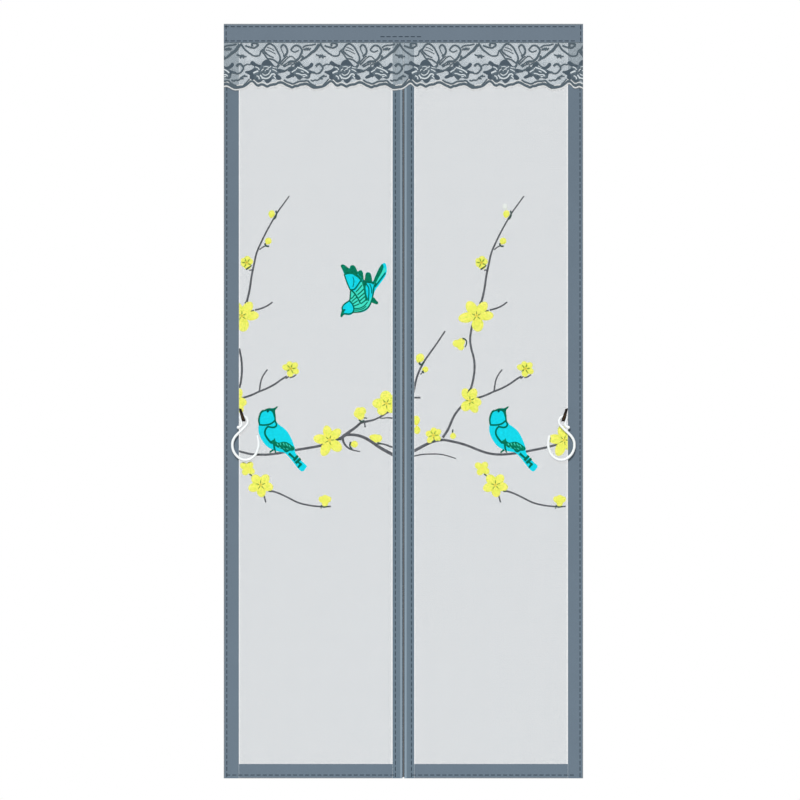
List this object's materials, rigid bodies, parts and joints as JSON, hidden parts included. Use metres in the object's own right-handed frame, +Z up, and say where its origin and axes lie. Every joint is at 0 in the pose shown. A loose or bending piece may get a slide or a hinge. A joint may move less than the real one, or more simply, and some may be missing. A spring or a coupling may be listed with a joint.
{
  "type": "magnetic insect screen",
  "caption": "Two-leaf net door screen with ribbon edges, a lace valance, embroidered birds and blossoms, magnet strips down the middle and hooks that hold the leaves open.",
  "frame": {"origin": "middle of the back face of the header's adhesive tape, the face that sticks to the door frame", "axes": "+Z up, +X to the right seen from the front, -Y to the front, away from the door frame"},
  "size_m": [1, 0.0183, 2.1],
  "materials": {
    "grey_ribbon": "woven polyester ribbon, matt",
    "net_grey": "fine polyester net, sheer",
    "lace_net": "tulle ground, sheer",
    "lace_cord": "corded lace, matt",
    "tape_grey": "hook-and-loop pile",
    "magnet_black": "flexible magnet, satin",
    "hook_white": "gloss white",
    "loop_black": "narrow woven ribbon",
    "branch_grey": "embroidery thread",
    "blossom_yellow": "embroidery thread, slight sheen",
    "bird_blue": "embroidery thread, slight sheen",
    "wing_green": "embroidery thread"
  },
  "bodies": {
    "root": {"flying_bird_body": "bird_blue", "flying_bird_wing": "wing_green", "header_adhesive_tape": "tape_grey", "header_band": "grey_ribbon", "header_loop_tape": "tape_grey", "lace_cordwork": "lace_cord", "lace_ground": "lace_net", "left_adhesive_tape": "tape_grey", "left_end_bud": "blossom_yellow", "left_foot_binding": "grey_ribbon", "left_high_branch": "branch_grey", "left_hook": "hook_white", "left_hook_loop": "loop_black", "left_large_blossom": "blossom_yellow", "left_loop_tape": "tape_grey", "left_low_blossom": "blossom_yellow", "left_low_branch": "branch_grey", "left_low_bud": "blossom_yellow", "left_magnet_strip": "magnet_black", "left_middle_blossom": "blossom_yellow", "left_net": "net_grey", "left_open_blossom": "blossom_yellow", "left_perched_bird_body": "bird_blue", "left_perched_bird_wing": "wing_green", "left_side_binding": "grey_ribbon", "left_side_twig": "branch_grey", "left_sleeve_back": "grey_ribbon", "left_sleeve_front": "grey_ribbon", "left_stem_bud": "blossom_yellow", "left_twig_blossom": "blossom_yellow", "left_upper_blossom": "blossom_yellow", "left_upper_bud": "blossom_yellow", "left_wide_branch": "branch_grey", "right_adhesive_tape": "tape_grey", "right_end_bud": "blossom_yellow", "right_faint_twig": "branch_grey", "right_foot_binding": "grey_ribbon", "right_high_branch": "branch_grey", "right_hook": "hook_white", "right_hook_loop": "loop_black", "right_inner_blossom": "blossom_yellow", "right_inner_twig": "branch_grey", "right_large_blossom": "blossom_yellow", "right_loop_tape": "tape_grey", "right_low_blossom": "blossom_yellow", "right_low_branch": "branch_grey", "right_low_bud": "blossom_yellow", "right_magnet_strip": "magnet_black", "right_middle_blossom": "blossom_yellow", "right_net": "net_grey", "right_open_blossom": "blossom_yellow", "right_perched_bird_body": "bird_blue", "right_perched_bird_wing": "wing_green", "right_side_binding": "grey_ribbon", "right_side_bud": "blossom_yellow", "right_sleeve_back": "grey_ribbon", "right_sleeve_front": "grey_ribbon", "right_stem_bud": "blossom_yellow", "right_tall_stem": "branch_grey", "right_twig_blossom": "blossom_yellow"}
  },
  "joints": []
}
